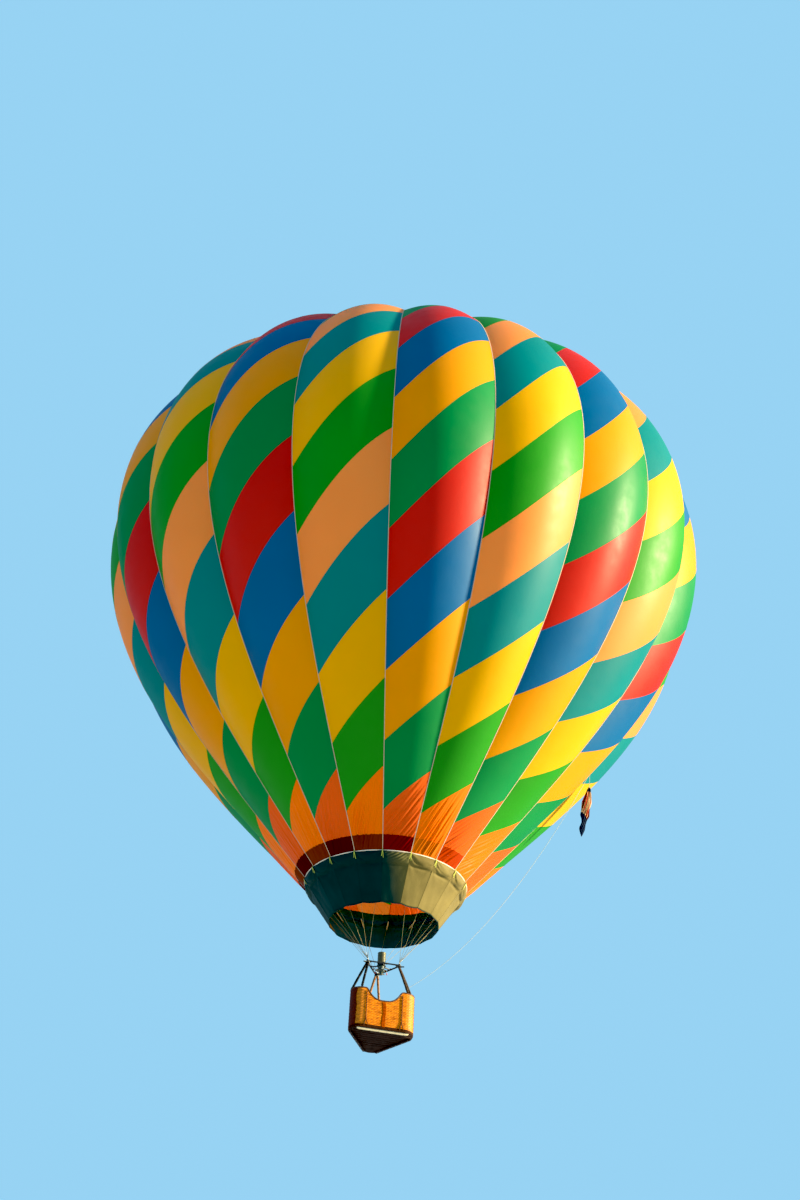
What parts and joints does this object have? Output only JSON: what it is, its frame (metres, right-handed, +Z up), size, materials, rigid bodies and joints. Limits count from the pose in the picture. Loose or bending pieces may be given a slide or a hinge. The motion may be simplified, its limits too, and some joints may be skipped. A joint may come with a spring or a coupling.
{
  "type": "hot air balloon",
  "caption": "Hot air balloon: bulging gored envelope with a vent in its crown, skirt, stays, load frame, burner and three-sided wicker basket.",
  "frame": {"origin": "on the envelope's axis at its widest level, where the lift of the air acts", "axes": "+Z up along the axis, -Y the front: the middle of one gore. The basket's front side looks 6 degrees to the right of it"},
  "size_m": [16.849, 17.109, 21.9654],
  "materials": {
    "fabric_dark_gores": "coated nylon, semi-gloss, panels of red, blue, amber and dark green",
    "fabric_light_gores": "coated nylon, semi-gloss, panels of orange, teal, yellow and green",
    "fabric_vent": "coated nylon, semi-gloss",
    "webbing": "woven tape, matte",
    "fabric_skirt": "fire-resistant cloth, matte, dark green and tan panels",
    "stay_steel": "stranded wire",
    "frame_paint": "satin dark paint",
    "toggle_metal": "satin",
    "burner_body_metal": "satin dark paint",
    "coil_steel": "heat-tinted steel",
    "wicker": "varnished woven willow",
    "rim_leather": "worn brown leather",
    "base_hide": "dark suede",
    "floor_board": "stained board",
    "runner_wood": "bare ash",
    "upright_sleeve": "padded leather sleeve",
    "cylinder_metal": "brushed",
    "flag_fabric": "furled flag cloth in red, white and navy",
    "flag_rope": "braided line"
  },
  "bodies": {
    "balloon": {"gore_01": "fabric_dark_gores", "gore_02": "fabric_light_gores", "gore_03": "fabric_dark_gores", "gore_04": "fabric_light_gores", "gore_05": "fabric_dark_gores", "gore_06": "fabric_light_gores", "gore_07": "fabric_dark_gores", "gore_08": "fabric_light_gores", "gore_09": "fabric_dark_gores", "gore_10": "fabric_light_gores", "gore_11": "fabric_dark_gores", "gore_12": "fabric_light_gores", "gore_13": "fabric_dark_gores", "gore_14": "fabric_light_gores", "gore_15": "fabric_dark_gores", "gore_16": "fabric_light_gores", "gore_17": "fabric_dark_gores", "gore_18": "fabric_light_gores", "crown_band": "webbing", "crown_web": "webbing", "mouth_ring": "webbing", "skirt": "fabric_skirt", "stays_1": "stay_steel", "stays_2": "stay_steel", "stays_3": "stay_steel", "load_frame": "frame_paint", "burner_mount": "frame_paint", "burner_body": "burner_body_metal", "burner_coil": "coil_steel", "upright_1": "upright_sleeve", "upright_2": "upright_sleeve", "upright_3": "upright_sleeve", "upright_4": "upright_sleeve", "upright_5": "upright_sleeve", "upright_6": "upright_sleeve", "basket_wall": "wicker", "basket_rim": "rim_leather", "basket_base_band": "base_hide", "basket_floor": "floor_board", "basket_runner_1": "runner_wood", "basket_runner_2": "runner_wood", "basket_runner_3": "runner_wood", "fuel_cylinder_1": "cylinder_metal", "fuel_cylinder_2": "cylinder_metal", "fuel_cylinder_3": "cylinder_metal", "flag_toggle": "toggle_metal", "flag": "flag_fabric", "flag_line": "flag_rope"},
    "vent": {"vent_panel": "fabric_vent"}
  },
  "joints": [
    {"name": "vent_slide", "type": "slide", "parent": "balloon", "child": "vent", "axis": [0, 0, 1], "range_m": [-1.2, 0], "stiffness_N_per_m": 250, "springref_m": 0.8}
  ]
}
